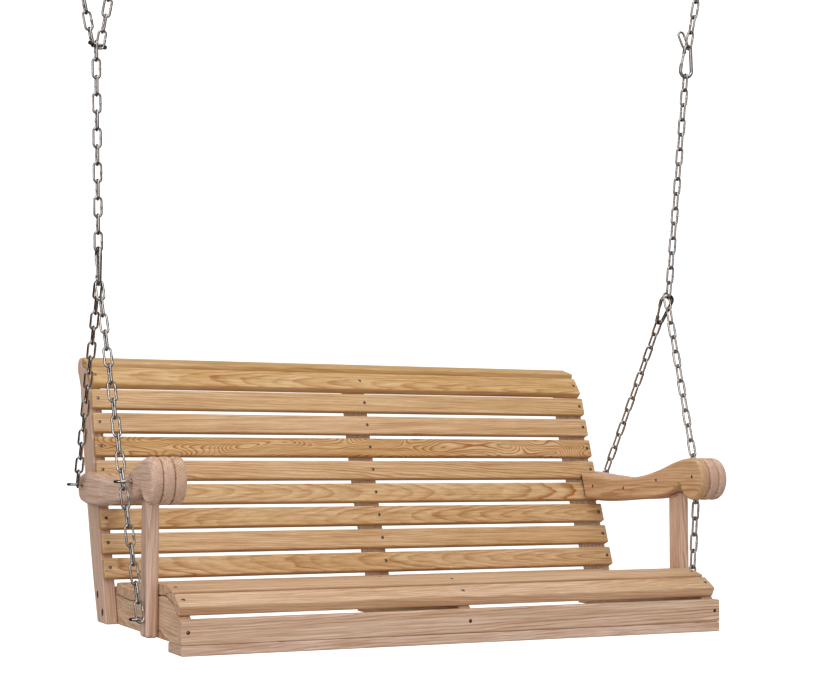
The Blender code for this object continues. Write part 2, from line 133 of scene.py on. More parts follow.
# ------------------------ node trees
class Tree:
    """Adds shader nodes and links them by value: a socket is linked, a number is set."""

    def __init__(self, name):
        self.material = bpy.data.materials.new(name)
        self.material.use_nodes = True
        self.nodes = self.material.node_tree.nodes
        self.links = self.material.node_tree.links
        self.shader = self.nodes["Principled BSDF"]

    def feed(self, socket, value):
        if isinstance(value, bpy.types.NodeSocket):
            self.links.new(value, socket)
        elif value is not None:
            socket.default_value = value

    def add(self, kind, *values, **settings):
        made = self.nodes.new(kind)
        for key, value in settings.items():
            setattr(made, key, value)
        for socket, value in zip(made.inputs, values):
            self.feed(socket, value)
        return made

    def math(self, operation, *values, clamp=False):
        made = self.add("ShaderNodeMath", *values, operation=operation)
        made.use_clamp = clamp
        return made.outputs[0]

    def scaled(self, vector, scale):
        made = self.add("ShaderNodeVectorMath", vector, scale, operation="MULTIPLY")
        return made.outputs[0]

    def noise(self, vector, detail=2.0, roughness=0.5):
        made = self.add("ShaderNodeTexNoise")
        self.feed(made.inputs["Vector"], vector)
        made.inputs["Scale"].default_value = 1.0
        made.inputs["Detail"].default_value = detail
        made.inputs["Roughness"].default_value = roughness
        return made.outputs["Fac"]

    def ramp(self, factor, *stops):
        made = self.add("ShaderNodeValToRGB", factor)
        bar = made.color_ramp.elements
        while len(bar) < len(stops):
            bar.new(0.5)
        for element, (place, value) in zip(bar, stops):
            element.position = place
            element.color = (*value, 1.0) if isinstance(value, tuple) else (value,) * 3 + (1.0,)
        return made.outputs["Color"]

    def mix(self, factor, a, b, blend="MIX"):
        made = self.nodes.new("ShaderNodeMix")
        made.data_type = "RGBA"
        made.blend_type = blend
        self.feed(made.inputs["Factor"], factor)
        for socket, value in ((made.inputs["A"], a), (made.inputs["B"], b)):
            for candidate in made.inputs:
                if candidate.name == socket.name and candidate.type == "RGBA":
                    self.feed(candidate, (*value, 1.0) if isinstance(value, tuple) else value)
        return next(out for out in made.outputs if out.type == "RGBA")

    def attribute(self, name, output):
        made = self.add("ShaderNodeAttribute", attribute_name=name)
        return made.outputs[output]

    def bump(self, height, distance, strength=1.0, normal=None):
        made = self.add("ShaderNodeBump")
        made.inputs["Strength"].default_value = strength
        made.inputs["Distance"].default_value = distance
        self.feed(made.inputs["Height"], height)
        self.feed(made.inputs["Normal"], normal)
        return made.outputs["Normal"]


# ------------------------ materials
EARLYWOOD = (0.690, 0.505, 0.295)
LATEWOOD = (0.380, 0.135, 0.024)
GOLDEN = (0.615, 0.410, 0.175)
PINKISH = (0.720, 0.550, 0.475)
END_TINT = (0.820, 0.740, 0.700)
STREAK_TINT = (0.740, 0.610, 0.440)
FIBRE_TINT = (0.760, 0.680, 0.560)
PALE = (1.100, 1.100, 1.090)
RING_WIDTH = 0.0036                         # one year's growth


def timber_material():
    """Oiled cypress. The log attribute is the place in the log, with the pith along X."""
    t = Tree("cypress_timber")
    log = t.attribute("log", "Vector")
    tone = t.attribute("tone", "Fac")
    figure = t.attribute("figure", "Fac")
    end = t.attribute("end_grain", "Fac")

    wander = t.noise(t.scaled(log, (2.2, 7.0, 7.0)), 2.0)
    ripple = t.noise(t.scaled(log, (14.0, 60.0, 60.0)), 2.0)
    split = t.add("ShaderNodeSeparateXYZ", log)
    squares = [t.math("MULTIPLY", split.outputs[i], split.outputs[i]) for i in (1, 2)]
    radius = t.math("SQRT", t.math("ADD", *squares))
    radius = t.math("ADD", radius, t.math("MULTIPLY", wander, 0.0150))
    radius = t.math("ADD", radius, t.math("MULTIPLY", ripple, 0.0040))
    # A figure above one stands for a board cut where the log bends: closed ovals show.
    bend = t.math("MULTIPLY", t.math("MAXIMUM", t.math("SUBTRACT", figure, 1.0), 0.0), 0.20)
    swirl = t.noise(t.scaled(log, (4.5, 12.0, 12.0)), 1.0)
    radius = t.math("ADD", radius, t.math("MULTIPLY", swirl, bend))
    years = t.math("FRACT", t.math("MULTIPLY", radius, 1 / RING_WIDTH))
    latewood = t.ramp(years, (0.0, 0.0), (0.40, 0.06), (0.70, 0.55), (0.84, 1.0), (0.93, 0.85),
                      (1.0, 0.0))

    # Some years are dense and some are faint.
    fat_years = t.noise(t.scaled(t.add("ShaderNodeCombineXYZ", 0.0, radius, 0.0).outputs[0],
                                 (1.0, 75.0, 1.0)), 1.0)
    density = t.ramp(fat_years, (0.34, 0.40), (0.60, 1.0))
    patches = t.ramp(t.noise(t.scaled(log, (2.2, 14.0, 14.0)), 2.0), (0.36, 0.45), (0.62, 1.0))
    strength = t.math("MULTIPLY", t.math("MULTIPLY", density, patches), figure, clamp=True)
    rings = t.math("MULTIPLY", latewood, strength)

    fibre = t.noise(t.scaled(log, (16.0, 700.0, 700.0)), 3.0, 0.65)
    streak = t.noise(t.scaled(log, (4.0, 190.0, 190.0)), 3.0, 0.65)
    cloud = t.noise(t.scaled(log, (2.4, 11.0, 11.0)), 3.0)

    base = t.mix(t.ramp(cloud, (0.34, 0.0), (0.68, 1.0)), EARLYWOOD, GOLDEN)
    base = t.mix(tone, base, PINKISH)
    grain = t.mix(rings, base, LATEWOOD)
    # The ends show the pores and not the streaks along them.
    side = t.math("SUBTRACT", 1.0, t.math("MULTIPLY", end, 0.70))
    streaked = t.mix(t.math("MULTIPLY", side, 0.80), grain,
                     t.ramp(streak, (0.34, STREAK_TINT), (0.62, PALE)), "MULTIPLY")
    fibred = t.mix(t.math("MULTIPLY", side, 0.60), streaked,
                   t.ramp(fibre, (0.34, FIBRE_TINT), (0.62, PALE)), "MULTIPLY")
    ended = t.mix(t.math("MULTIPLY", end, 0.85), fibred, t.mix(1.0, fibred, END_TINT, "MULTIPLY"))
    t.feed(t.shader.inputs["Base Color"], ended)
    t.feed(t.shader.inputs["Roughness"],
           t.math("ADD", 0.50, t.math("MULTIPLY", t.math("ADD", fibre, end), 0.16)))
    t.shader.inputs["Specular IOR Level"].default_value = 0.32
    relief = t.bump(fibre, 0.00035, 0.55)
    relief = t.bump(rings, 0.00025, 0.50, relief)
    t.feed(t.shader.inputs["Normal"], relief)
    return t.material


def steel_material(name, tint, roughness, mottling):
    """Zinc-plated steel: cloudy spangle in the colour and the gloss, fine drawing marks."""
    t = Tree(name)
    place = t.add("ShaderNodeTexCoord").outputs["Object"]
    cloud = t.noise(t.scaled(place, (90.0, 90.0, 90.0)), 3.0)
    marks = t.noise(t.scaled(place, (900.0, 900.0, 900.0)), 2.0)
    dull = tuple(channel * (1.0 - mottling) for channel in tint)
    t.feed(t.shader.inputs["Base Color"], t.mix(t.ramp(cloud, (0.35, 0.0), (0.65, 1.0)), dull, tint))
    t.feed(t.shader.inputs["Roughness"],
           t.math("ADD", roughness, t.math("MULTIPLY", cloud, 0.14)))
    t.shader.inputs["Metallic"].default_value = 1.0
    t.feed(t.shader.inputs["Normal"], t.bump(marks, 0.00006, 0.5))
    return t.material


def pocket_shade_material():
    """The painted shade on the wall of a screw pocket: a mottled, very dark brown."""
    t = Tree("pocket_painted_shade")
    place = t.add("ShaderNodeTexCoord").outputs["Object"]
    cloud = t.noise(t.scaled(place, (400.0, 400.0, 400.0)), 2.0)
    t.feed(t.shader.inputs["Base Color"], t.mix(cloud, (0.10, 0.05, 0.022), (0.20, 0.10, 0.045)))
    t.shader.inputs["Roughness"].default_value = 0.75
    return t.material


TIMBER = timber_material()
# The pocket walls' dark brown is painted shade.
POCKET_SHADE = pocket_shade_material()
ZINC = steel_material("bright_zinc", (0.66, 0.64, 0.63), 0.16, 0.25)
SCREW_STEEL = steel_material("screw_steel", (0.36, 0.34, 0.33), 0.28, 0.35)
PLATE_STEEL = steel_material("satin_zinc", (0.60, 0.61, 0.63), 0.34, 0.25)


# ------------------------ outlines
CORNER_TURN = math.radians(27)      # a sharper turn than this is a corner, not a curve
CURVE_STEP = 0.0050
CORNER_STEPS = 5
EDGE_STEPS = 4


def outline_of(node):
    """The (y, z) outline of a sawn piece, in order, from the end face of its CAD solid."""
    shape = bmesh.new()
    shape.from_mesh(frame["nodes"][node].data)
    bmesh.ops.remove_doubles(shape, verts=shape.verts, dist=1e-5)
    low = min(v.co.x for v in shape.verts)

    def flat(item):
        return all(abs(v.co.x - low) < 1e-5 for v in item.verts)

    rim = [e for e in shape.edges if flat(e) and sum(flat(f) for f in e.link_faces) == 1]
    loops = []
    while rim:
        edge = rim.pop()
        loop = [edge.verts[0], edge.verts[1]]
        while loop[-1] is not loop[0]:
            edge = next(e for e in rim if loop[-1] in e.verts)
            rim.remove(edge)
            loop.append(edge.other_vert(loop[-1]))
        loops.append([Vector((v.co.y, v.co.z)) for v in loop[:-1]])
    shape.free()
    outer = max(loops, key=lambda loop: abs(area_of(loop)))
    return straightened(outer if area_of(outer) > 0 else outer[::-1])


def area_of(loop):
    """Area inside the loop, positive when it runs counterclockwise."""
    return sum(a.x * b.y - b.x * a.y for a, b in zip(loop, loop[1:] + loop[:1])) / 2


def turn_at(before, point, after):
    """Signed angle by which the line turns at the middle one of three points."""
    return (point - before).angle_signed(after - point)


def straightened(loop):
    """The loop without points that lie on a straight edge."""
    count = len(loop)
    return [p for i, p in enumerate(loop)
            if abs(turn_at(loop[i - 1], p, loop[(i + 1) % count])) > math.radians(0.4)]


def tangent_at(before, point, after):
    """Direction of the curve through three points, the nearer neighbour counting more."""
    back, ahead = point - before, after - point
    return (back.normalized() * ahead.length + ahead.normalized() * back.length).normalized()


def corners_of(loop):
    """Whether the line turns too sharply at each point for it to be part of a curve."""
    count = len(loop)
    return [abs(turn_at(loop[i - 1], loop[i], loop[(i + 1) % count])) > CORNER_TURN
            for i in range(count)]


def refined(loop):
    """(points, corner flags): the curves between corners get a point each few millimetres."""
    count = len(loop)
    corner = corners_of(loop)
    points, flags = [], []
    for i, start in enumerate(loop):
        j = (i + 1) % count
        end, chord = loop[j], loop[j] - loop[i]
        points.append(start)
        flags.append(corner[i])
        if corner[i] and corner[j]:
            continue
        # At a corner the curve leaves as the mirror of how it arrives at the other end.
        leave = None if corner[i] else tangent_at(loop[i - 1], start, end)
        arrive = None if corner[j] else tangent_at(start, end, loop[(j + 1) % count])
        along = chord.normalized()
        leave = leave or (2 * along.dot(arrive) * along - arrive)
        arrive = arrive or (2 * along.dot(leave) * along - leave)
        steps = max(1, round(chord.length / CURVE_STEP))
        for k in range(1, steps):
            f = k / steps
            h = (2 * f ** 3 - 3 * f ** 2 + 1, f ** 3 - 2 * f ** 2 + f,
                 3 * f ** 2 - 2 * f ** 3, f ** 3 - f ** 2)
            points.append(start * h[0] + leave * chord.length * h[1]
                          + end * h[2] + arrive * chord.length * h[3])
            flags.append(False)
    return points, flags


def walked(points, i, direction, distance):
    """(index, point) at a distance along the closed line from point i."""
    count = len(points)
    here, j = points[i], i
    while True:
        j = (j + direction) % count
        step = points[j] - here
        if step.length >= distance:
            return j, here + step * (distance / step.length)
        distance -= step.length
        here = points[j]


def rounded(points, flags, radius):
    """The closed line with each flagged corner turned into an arc."""
    count = len(points)
    cuts = {}
    for i in (i for i in range(count) if flags[i]):
        turn = abs(turn_at(points[i - 1], points[i], points[(i + 1) % count]))
        reach = radius * math.tan(min(turn, 2.4) / 2)
        cuts[i] = (walked(points, i, -1, reach), walked(points, i, 1, reach))
    dropped = set()
    for i, ((before, _), (after, _)) in cuts.items():
        j = (before + 1) % count
        while j != after:
            dropped.add(j)
            j = (j + 1) % count
    result = []
    for i in range(count):
        if i in cuts:
            start, end = cuts[i][0][1], cuts[i][1][1]
            for k in range(CORNER_STEPS + 1):
                f = k / CORNER_STEPS
                result.append(start * (1 - f) ** 2 + points[i] * 2 * f * (1 - f) + end * f * f)
        elif i not in dropped:
            result.append(points[i])
    return result


def inset(points, amount):
    """The closed line moved inwards, each point along the bisector of its two edges."""
    count = len(points)
    moved = []
    for i, p in enumerate(points):
        back = (p - points[i - 1]).normalized()
        ahead = (points[(i + 1) % count] - p).normalized()
        inward = Vector((-back.y - ahead.y, back.x + ahead.x)).normalized()
        half = max(0.35, Vector((-back.y, back.x)).dot(inward))
        moved.append(p + inward * (amount / half))
    return moved


# ------------------------ meshes
def mesh_object(name, verts, faces, *finishes):
    """An object in the scene with those materials."""
    mesh = bpy.data.meshes.new(name)
    mesh.from_pydata([tuple(v) for v in verts], [], faces)
    for finish in finishes:
        mesh.materials.append(finish)
    made = bpy.data.objects.new(name, mesh)
    bpy.context.collection.objects.link(made)
    return made


def bands(rows, count):
    """Faces between neighbouring rows of count points, each row closed on itself."""
    return [(row * count + i, row * count + (i + 1) % count,
             (row + 1) * count + (i + 1) % count, (row + 1) * count + i)
            for row in range(rows - 1) for i in range(count)]


def prism_with_eased_edges(name, line, x_low, x_high, ease):
    """A board of that outline between two X planes, with its edges rounded over: ease is one
    radius, or one for each end."""
    low_ease, high_ease = ease if isinstance(ease, tuple) else (ease, ease)
    turns = [math.pi / 2 * k / EDGE_STEPS for k in range(EDGE_STEPS + 1)]
    stations = [(x_low + low_ease * (1 - math.cos(a)), low_ease * (1 - math.sin(a))) for a in turns]
    stations += [(x_high - high_ease * (1 - math.cos(a)), high_ease * (1 - math.sin(a)))
                 for a in reversed(turns)]
    verts, count = [], len(line)
    for x, amount in stations:
        verts += [(x, p.x, p.y) for p in inset(line, amount)]
    faces = [tuple(range(count))[::-1]] + bands(len(stations), count)
    top = (len(stations) - 1) * count
    faces.append(tuple(top + i for i in range(count)))
    # The second finish is the painted shade that the pocket walls take.
    return mesh_object(name, verts, faces, TIMBER, POCKET_SHADE)


def swept(path, normal, radius, sides, closed=False):
    """(verts, faces) of a round wire along a flat path; radius is a number or one a point."""
    count = len(path)
    radii = [radius] * count if isinstance(radius, float) else radius
    normal = Vector(normal).normalized()
    verts, faces = [], []
    for i, point in enumerate(path):
        before = path[i - 1] if closed or i else path[i]
        after = path[(i + 1) % count] if closed or i < count - 1 else path[i]
        side = (after - before).normalized().cross(normal)
        # A bend spreads the section, so that the wire keeps its thickness.
        if 0 < i < count - 1 or closed:
            bend = (point - before).angle(after - point, 0.0)
            spread = 1 / math.cos(min(bend, 2.0) / 2)
        else:
            spread = 1.0
        for k in range(sides):
            turn = 2 * math.pi * k / sides
            verts.append(point + side * (radii[i] * spread * math.cos(turn))
                         + normal * (radii[i] * math.sin(turn)))
    rows = count if closed else count - 1
    for i in range(rows):
        a, b = i * sides, (i + 1) % count * sides
        for k in range(sides):
            m = (k + 1) % sides
            faces.append((a + k, b + k, b + m, a + m))
    if not closed:
        faces.append(tuple(range(sides)))
        faces.append(tuple(range((count - 1) * sides, count * sides))[::-1])
    return verts, faces


def joined(parts):
    """One (verts, faces) from several."""
    verts, faces = [], []
    for more_verts, more_faces in parts:
        start = len(verts)
        verts += list(more_verts)
        faces += [tuple(start + i for i in face) for face in more_faces]
    return verts, faces


def lathe(profile, sides=20):
    """(verts, faces) of a turned solid from (radius, height) points, along Z."""
    verts = [Vector((r * math.cos(2 * math.pi * k / sides), r * math.sin(2 * math.pi * k / sides), z))
             for r, z in profile for k in range(sides)]
    faces = bands(len(profile), sides)
    faces.append(tuple(range(sides))[::-1])
    faces.append(tuple(range((len(profile) - 1) * sides, len(profile) * sides)))
    return verts, faces


def moved(part, place, facing):
    """The part's Z turned to facing and its origin put at place."""
    turn = Vector(facing).to_track_quat("Z", "Y").to_matrix()
    return [turn @ Vector(v) + Vector(place) for v in part[0]], part[1]


def shade(obj, angle=math.radians(32)):
    """Smooth shading, broken where two faces meet at more than the angle."""
    obj.data.polygons.foreach_set("use_smooth", [True] * len(obj.data.polygons))
    obj.data.set_sharp_from_angle(angle=angle)


def outward(obj):
    """Turns every face of a closed mesh outwards."""
    shape = bmesh.new()
    shape.from_mesh(obj.data)
    bmesh.ops.recalc_face_normals(shape, faces=shape.faces)
    shape.to_mesh(obj.data)
    shape.free()
    return obj


def fitting(name, parts, finish, body, nodes=()):
    """A metal piece from swept and turned parts, riding on its body."""
    made = mesh_object(name, *joined(parts), finish)
    shade(outward(made), math.radians(45))
    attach(made, body)
    if nodes:
        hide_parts(*nodes)


# ------------------------ timber
SAWING = random.Random(41)


def grow(obj, grain, face, figure, tone, pith=None):
    """Writes where each point of the piece lay in its log: the grain's direction, the direction
    its face looks, how bold its figure is, how pink it is, and how the pith runs behind it."""
    grain = Vector(grain).normalized()
    depth = square_to(grain, face)
    across = depth.cross(grain)
    if pith is None:
        pith = (SAWING.choice((-1, 1)) * SAWING.uniform(0.030, 0.090), SAWING.uniform(0.030, 0.070),
                SAWING.uniform(-0.030, 0.030), SAWING.uniform(-0.040, 0.040))
    shift, far, drift, rise = pith
    start = SAWING.uniform(0.0, 40.0)
    corners = [obj.matrix_world @ Vector(c) for c in obj.bound_box]
    middle = sum(corners, Vector()) / 8
    mesh = obj.data
    values, ends = [], []
    for vertex in mesh.vertices:
        away = vertex.co - middle
        u, v, w = away.dot(grain), away.dot(across), away.dot(depth)
        values += [start + u, v + shift + drift * u, w + far + rise * u]
        facing = abs(vertex.normal.dot(grain))
        ends.append(min(1.0, max(0.0, (facing - 0.60) / 0.30)))
    count = len(mesh.vertices)
    mesh.attributes.new("log", "FLOAT_VECTOR", "POINT").data.foreach_set("vector", values)
    for name, numbers in (("end_grain", ends), ("figure", [figure] * count),
                          ("tone", [tone] * count)):
        mesh.attributes.new(name, "FLOAT", "POINT").data.foreach_set("value", numbers)


def carved(obj, cutter):
    """The object's mesh less the cutter, whose walls keep its finish; the cutter is used up."""
    step = obj.modifiers.new("carving", "BOOLEAN")
    step.operation = "DIFFERENCE"
    step.solver = "EXACT"
    step.object = cutter
    step.material_mode = "TRANSFER"
    bpy.context.view_layer.update()
    cut = bpy.data.meshes.new_from_object(obj.evaluated_get(bpy.context.evaluated_depsgraph_get()))
    obj.modifiers.clear()
    bpy.data.objects.remove(cutter, do_unlink=True)
    return cut


def drill(obj, pockets):
    """Cuts (place, facing, radius, depth) pockets into a board and paints shade on their walls."""
    parts = []
    for place, facing, radius, depth in pockets:
        profile = [(radius * 0.80, -depth), (radius * 0.80, -depth * 0.55), (radius, 0.0006),
                   (radius, 0.0040)]
        parts.append(moved(lathe(profile, 18), place, facing))
    if parts:
        cutter = mesh_object(obj.name + "_cutter", *joined(parts), POCKET_SHADE)
        obj.data = carved(obj, outward(cutter))


def board(node, grain, face, pockets=(), *, corner, ease, curved=False, **growth):
    """A sawn piece in place of its CAD node: curves refined, corners and edges rounded over."""
    line = outline_of(node)
    points, flags = refined(line) if curved else (line, corners_of(line))
    low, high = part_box(node)
    line = rounded(points, flags, corner)
    made = prism_with_eased_edges(f"{node}_board", line, low.x, high.x, ease)
    drill(outward(made), pockets)
    grow(made, grain, face, **growth)
    shade(made)
    weighted = made.modifiers.new("weighted_normals", "WEIGHTED_NORMAL")
    weighted.keep_sharp = True
    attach(made, "bench")
    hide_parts(node)


def slat_face(node, looks):
    """(middle, outward unit vector) of the slat's wide face that looks that way."""
    line = outline_of(node)
    edges = [(a, b) for a, b in zip(line, line[1:] + line[:1])]
    longest = max((b - a).length for a, b in edges)
    wide = [(a, b) for a, b in edges if (b - a).length > longest * 0.98]
    a, b = max(wide, key=lambda e: Vector((e[1].y - e[0].y, e[0].x - e[1].x)).dot(looks))
    out = Vector((b.y - a.y, a.x - b.x)).normalized()
    middle = (a + b) / 2
    return Vector((0.0, middle.x, middle.y)), Vector((0.0, out.x, out.y))


screw_spots = {"back": [], "seat": [], "arm": [], "underside": []}


def screw_pocket(group, place, out):
    """The pocket for a screw driven in at that place, noting where its head goes."""
    screw_spots[group].append((place - out * SCREW_POCKET[1] * SCREW_SINK, out))
    return place, out, *SCREW_POCKET


def screw_row(group, middle, out, places):
    """Pockets for screws at those X places along a slat."""
    return [screw_pocket(group, Vector((x, middle.y, middle.z)), out) for x in places]


BACK_SCREWS = (-0.5969, 0.0257, 0.5969)
SEAT_SCREWS = (-0.5712, 0.0, 0.5712)
FRONTWARD, UPWARD, DOWNWARD = Vector((-1.0, 0.3)), Vector((-0.2, 1.0)), Vector((0.0, -1.0))
ALONG_X = (1, 0, 0)

# How bold each back slat's figure is, how pink, and where the pith runs behind it:
# offset across, distance behind, drift across and away for each metre along.
BACK_FIGURES = {
    "roll_slat_front": (0.85, 0.05, (0.010, 0.030, 0.020, -0.045)),
    "roll_slat_top": (0.50, 0.00, None),
    "back_slat_8": (0.55, 0.20, None),
    "back_slat_7": (0.55, 0.30, None),
    "back_slat_6": (2.00, 0.05, (0.002, 0.012, 0.004, 0.030)),
    "back_slat_5": (0.80, 0.25, (0.034, 0.040, 0.020, 0.030)),
    "back_slat_4": (0.95, 0.12, (0.000, 0.036, 0.006, 0.060)),
    "back_slat_3": (0.80, 0.15, (0.006, 0.040, -0.012, -0.060)),
    "back_slat_2": (0.65, 0.20, None),
    "back_slat_1": (0.95, 0.15, (-0.004, 0.034, 0.010, -0.060)),
}


def make_back():
    """The back's slats, with a screw into each upright."""
    for node, (figure, tone, pith) in BACK_FIGURES.items():
        middle, out = slat_face(node, FRONTWARD)
        pockets = []
        if node != "roll_slat_top":
            pockets = screw_row("back", middle, out, BACK_SCREWS)
        board(node, ALONG_X, out, pockets, corner=0.0036, ease=0.0042,
              figure=figure, tone=tone, pith=pith)


def make_seat():
    """The seat's slats, the apron under its nose and the board under the apron."""
    for number in range(1, 10):
        node = f"seat_slat_{number}"
        middle, out = slat_face(node, UPWARD)
        pockets = screw_row("seat", middle, out, SEAT_SCREWS)
        board(node, ALONG_X, out, pockets, corner=0.0034, ease=0.0038, figure=0.70, tone=0.50)
    middle, out = slat_face("front_apron", FRONTWARD)
    pockets = screw_row("seat", middle, out, SEAT_SCREWS)
    board("front_apron", ALONG_X, out, pockets, corner=0.0024, ease=0.0024,
          figure=0.80, tone=0.80)
    middle, out = slat_face("lower_front_board", DOWNWARD)
    pockets = screw_row("underside", middle, out, SEAT_SCREWS)
    board("lower_front_board", ALONG_X, (0, -1, 0), pockets, corner=0.0034, ease=0.0034,
          figure=0.6, tone=0.95)


ARM_TONES = {"left": (1.0, 0.9, 0.8), "right": (1.0, 0.9, 0.40)}    # outer ply first
ARM_SCREWS = ((0.0070, 0.2790), (-0.1320, 0.2755), (-0.2710, 0.2950), (-0.4130, 0.3030))
UPRIGHT_BOLTS = ((0.0501, 0.0569), (0.0063, 0.0228))


def make_frame():
    """The sawn frame: rails, posts, uprights and the arms' three plies."""
    up = BENCH_TURN @ Vector((0, 0, 1))
    back = BENCH_TURN @ Vector((0, 1, 0))
    recline = BENCH_TURN @ Vector((0, math.sin(RECLINE), math.cos(RECLINE)))
    for side, sign in SIDES.items():
        outside = Vector((sign, 0, 0))
        board(f"seat_rail_{side}", back, outside, corner=0.0015, ease=0.0015,
              figure=0.85, tone=0.65)
        board(f"arm_post_{side}", up, outside, corner=0.0080, ease=0.0075, figure=0.85, tone=1.0)
        x = face_x(f"back_upright_{side}", sign)
        pockets = [(on_bench((x, y, z)), outside, *BOLT_POCKET) for y, z in UPRIGHT_BOLTS]
        board(f"back_upright_{side}", recline, outside, pockets, corner=0.0052, ease=0.0034,
              figure=0.65, tone=1.0)
        for ply, tone in zip(("outer", "middle", "inner"), ARM_TONES[side]):
            node = f"arm_ply_{ply}_{side}"
            pockets = []
            if ply == "inner":
                x = face_x(node, -sign)
                pockets = [screw_pocket("arm", on_bench((x, y, z)), Vector((-sign, 0, 0)))
                           for y, z in ARM_SCREWS]
            ease = 0.0070
            if ply == "outer":
                ease = (0.0120, 0.0070) if sign < 0 else (0.0070, 0.0120)
            board(node, back, outside, pockets, corner=0.0040, ease=ease, curved=True, figure=0.65,
                  tone=tone, pith=(0.070, 0.040, 0.02, 0.03) if ply == "outer" else None)
    board("seat_rail_centre", back, ALONG_X, corner=0.0015, ease=0.0015, figure=0.6, tone=0.2)
    board("back_upright_centre", recline, ALONG_X, corner=0.0020, ease=0.0020,
          figure=0.4, tone=0.75)


# ------------------------ screws and bolts
def cross_head(radius):
    """A domed screw head with a cross recess, sitting along Z."""
    head = outward(mesh_object("head", *lathe(
        [(radius * 0.6, -0.0010), (radius, -0.0002), (radius * 0.96, 0.0003),
         (radius * 0.55, 0.0007), (radius * 0.12, 0.0008)], 16), SCREW_STEEL))
    arm, half = radius * 0.62, radius * 0.15
    star = []
    for turn in range(4):
        a = math.pi / 2 * turn
        for u, v in ((half, half), (arm, half), (arm, -half)):
            star.append((u * math.cos(a) - v * math.sin(a), u * math.sin(a) + v * math.cos(a)))
    order = sorted(star, key=lambda p: math.atan2(p[1], p[0]))
    count = len(order)
    verts = [(x * s, y * s, z) for z, s in ((-0.0004, 0.55), (0.0020, 1.0)) for x, y in order]
    faces = [tuple(range(count))[::-1], tuple(range(count, 2 * count))]
    faces += [(i, (i + 1) % count, count + (i + 1) % count, count + i) for i in range(count)]
    cut = carved(head, outward(mesh_object("cross", verts, faces, SCREW_STEEL)))
    bpy.data.objects.remove(head, do_unlink=True)
    return [v.co.copy() for v in cut.vertices], [tuple(p.vertices) for p in cut.polygons]


def make_screws():
    """Screws in the noted spots, each turned its own way, and the uprights' bolts."""
    head = cross_head(SCREW_HEAD)
    turning = random.Random(7)
    for group, spots in screw_spots.items():
        parts = []
        for place, out in spots:
            a = turning.uniform(0.0, math.pi / 2)
            spun = [Matrix.Rotation(a, 3, "Z") @ v for v in head[0]]
            parts.append(moved((spun, head[1]), place, out))
        fitting(f"{group}_screws", parts, SCREW_STEEL, "bench")
    hexagon = lathe([(0.0062, -0.0015), (0.0062, 0.0024), (0.0056, 0.0029)], 6)
    washer = lathe([(0.0064, -0.0020), (0.0067, -0.0016), (0.0067, -0.0008), (0.0064, -0.0004)], 20)
    parts = []
    for side, sign in SIDES.items():
        x = face_x(f"back_upright_{side}", sign) - sign * BOLT_SEAT
        for y, z in UPRIGHT_BOLTS:
            place = on_bench((x, y, z))
            parts += [moved(hexagon, place, (sign, 0, 0)), moved(washer, place, (sign, 0, 0))]
    fitting("upright_bolts", parts, SCREW_STEEL, "bench")


# ------------------------ chain
def link_shape():
    """(verts, faces) of a welded link lying along X with its width along Y."""
    bend = LINK_WIDTH / 2 - LINK_WIRE
    reach = LINK_INNER / 2 + LINK_WIRE - bend
    path, radii = [], []

    def spot(x, y, radius=LINK_WIRE):
        path.append(Vector((x, y, 0.0)))
        radii.append(radius)

    for sign in (1, -1):
        for k in range(9):
            turn = -math.pi / 2 + math.pi * k / 8
            spot(sign * (reach + bend * math.cos(turn)), sign * bend * math.sin(turn))
        # The weld's low ridge is in the middle of one side.
        if sign > 0:
            for x, swell in ((0.0022, 1.0), (0.0012, 1.15), (0.0, 1.22), (-0.0012, 1.15),
                             (-0.0022, 1.0)):
                spot(x, bend, LINK_WIRE * swell)
        else:
            spot(0.0, -bend)
    return swept(path, (0, 0, 1), radii, 10, closed=True)


LINK = link_shape()


def link_at(centre, along, across, stretch=1.0):
    """A link with its length along one direction and its width along another."""
    along = Vector(along).normalized()
    across = square_to(along, across)
    normal = along.cross(across)
    verts = [Vector(centre) + along * (v.x * stretch) + across * v.y + normal * v.z
             for v in LINK[0]]
    return verts, LINK[1]


def run_of_links(start, end, wires, sideways, first_flat=True):
    """Links from the wire centred at start to the one at end. wires are the radii of what the
    end links hook over; sideways is the width direction of the first or the second link."""
    start, end = Vector(start), Vector(end)
    whole = (end - start).length + wires[0] + wires[1]
    count = max(1, round(whole / LINK_INNER))
    pitch = whole / count
    along = (end - start).normalized()
    flat = square_to(along, sideways)
    upright = along.cross(flat)
    return [link_at(start + along * ((k + 0.5) * pitch - wires[0]), along,
                    flat if (k % 2 == 0) == first_flat else upright, pitch / LINK_INNER)
            for k in range(count)]


def links_along(points, sideways, count):
    """Links in one line through the points, each bridging the bend where it lies; sideways is
    the width direction of the first."""
    points = [Vector(p) for p in points]
    lengths = [(b - a).length for a, b in zip(points, points[1:])]
    total = sum(lengths)

    def at(distance):
        for a, b, length in zip(points, points[1:], lengths):
            if distance <= length or b is points[-1]:
                return a + (b - a) * (distance / length)
            distance -= length

    pitch = total / count
    parts = []
    for k in range(count):
        middle = (k + 0.5) * pitch
        low, high = at(middle - pitch / 2), at(middle + pitch / 2)
        along = (high - low).normalized()
        flat = square_to(along, sideways)
        across = flat if k % 2 == 0 else along.cross(flat)
        parts.append(link_at((low + high) / 2, along, across, pitch / LINK_INNER))
    return parts


# ------------------------ hooks, eyes and rings
def arc(centre, radius, start, end, steps):
    """Points of an arc between two angles in degrees."""
    turns = (math.radians(start + (end - start) * i / steps) for i in range(steps + 1))
    return [(centre[0] + radius * math.cos(t), centre[1] + radius * math.sin(t)) for t in turns]


